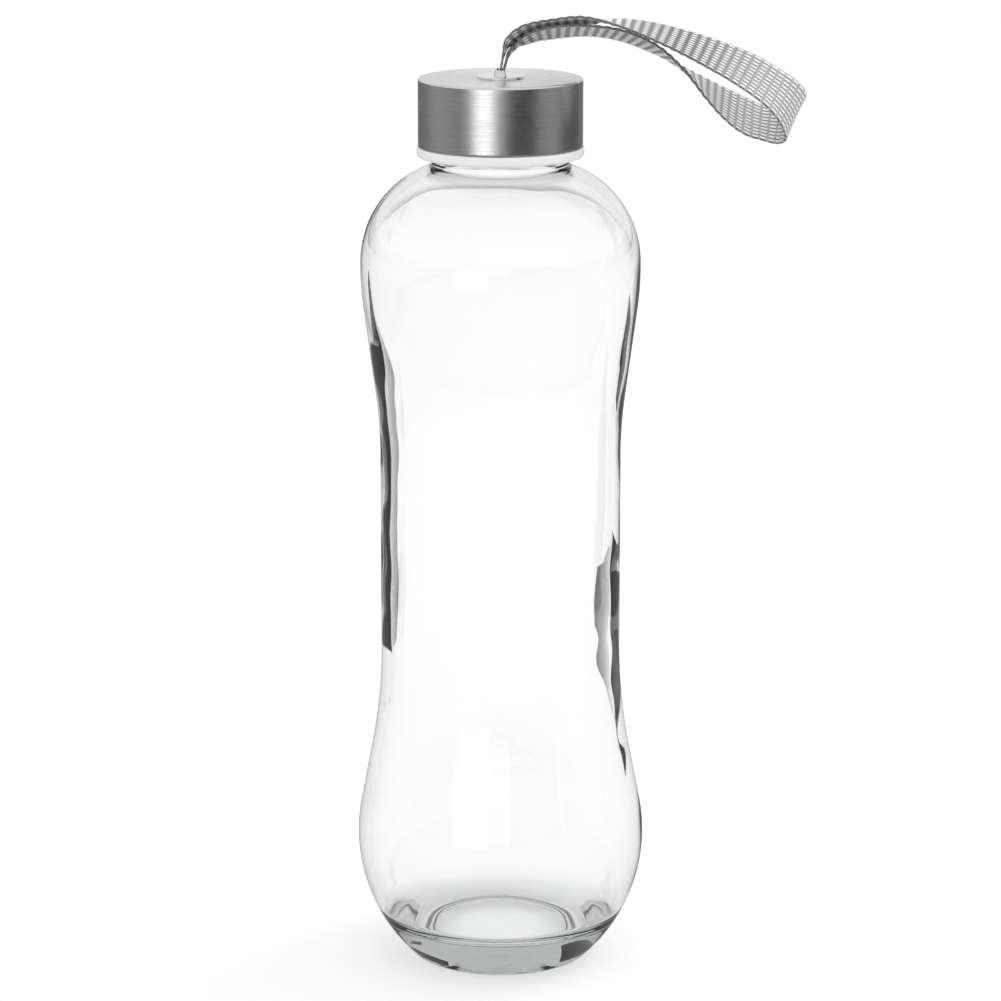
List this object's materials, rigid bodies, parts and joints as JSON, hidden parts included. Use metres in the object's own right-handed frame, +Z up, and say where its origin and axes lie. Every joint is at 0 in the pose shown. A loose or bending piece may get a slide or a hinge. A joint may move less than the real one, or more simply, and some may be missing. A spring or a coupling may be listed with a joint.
{
  "type": "glass water bottle",
  "caption": "Waisted clear glass water bottle with a brushed steel screw cap and a woven carry loop on a swivelling boss.",
  "frame": {"origin": "centre of the ring that the bottle stands on, in the plane of the table", "axes": "+Z up along the bottle's axis, +X towards the side that the carry loop lies over, +Y towards the back"},
  "size_m": [0.1108, 0.0718, 0.2389],
  "materials": {
    "glass": "clear, polished, heavy base",
    "steel_cap": "brushed round the skirt, satin on top",
    "insert_plastic": "natural white, slightly translucent",
    "seal_silicone": "translucent white silicone, matte",
    "steel_boss": "satin turned face",
    "washer_steel": "plain pressed steel",
    "crimp_steel": "plain crimped steel",
    "webbing": "silver-grey woven webbing with darker ribs"
  },
  "bodies": {
    "bottle": {"bottle": "glass"},
    "seal": {"seal_disc": "seal_silicone"},
    "cap": {"cap_shell": "steel_cap", "cap_insert": "insert_plastic"},
    "boss": {"strap_boss": "steel_boss", "boss_washer": "washer_steel", "strap_crimp": "crimp_steel", "strap_tail": "webbing"},
    "strap": {"strap": "webbing"}
  },
  "joints": [
    {"name": "cap_lift", "type": "slide", "parent": "bottle", "child": "seal", "axis": [0, 0, 1], "range_m": [0, 0.0148]},
    {"name": "cap_turn", "type": "hinge", "parent": "seal", "child": "cap", "pos_m": [0, 0, 0.21], "axis": [0, 0, 1], "range_deg": [0, 1260]},
    {"name": "strap_swivel", "type": "hinge", "parent": "cap", "child": "boss", "pos_m": [0, 0, 0.223], "axis": [0, 0, 1], "continuous": true},
    {"name": "strap_swing", "type": "hinge", "parent": "boss", "child": "strap", "pos_m": [0, 0, 0.2261], "axis": [0, 1, 0], "range_deg": [-90, 25]}
  ],
  "couplings": [
    {"joint": "cap_lift", "follows": "cap_turn", "m_per_rad": 0.00066845}
  ]
}
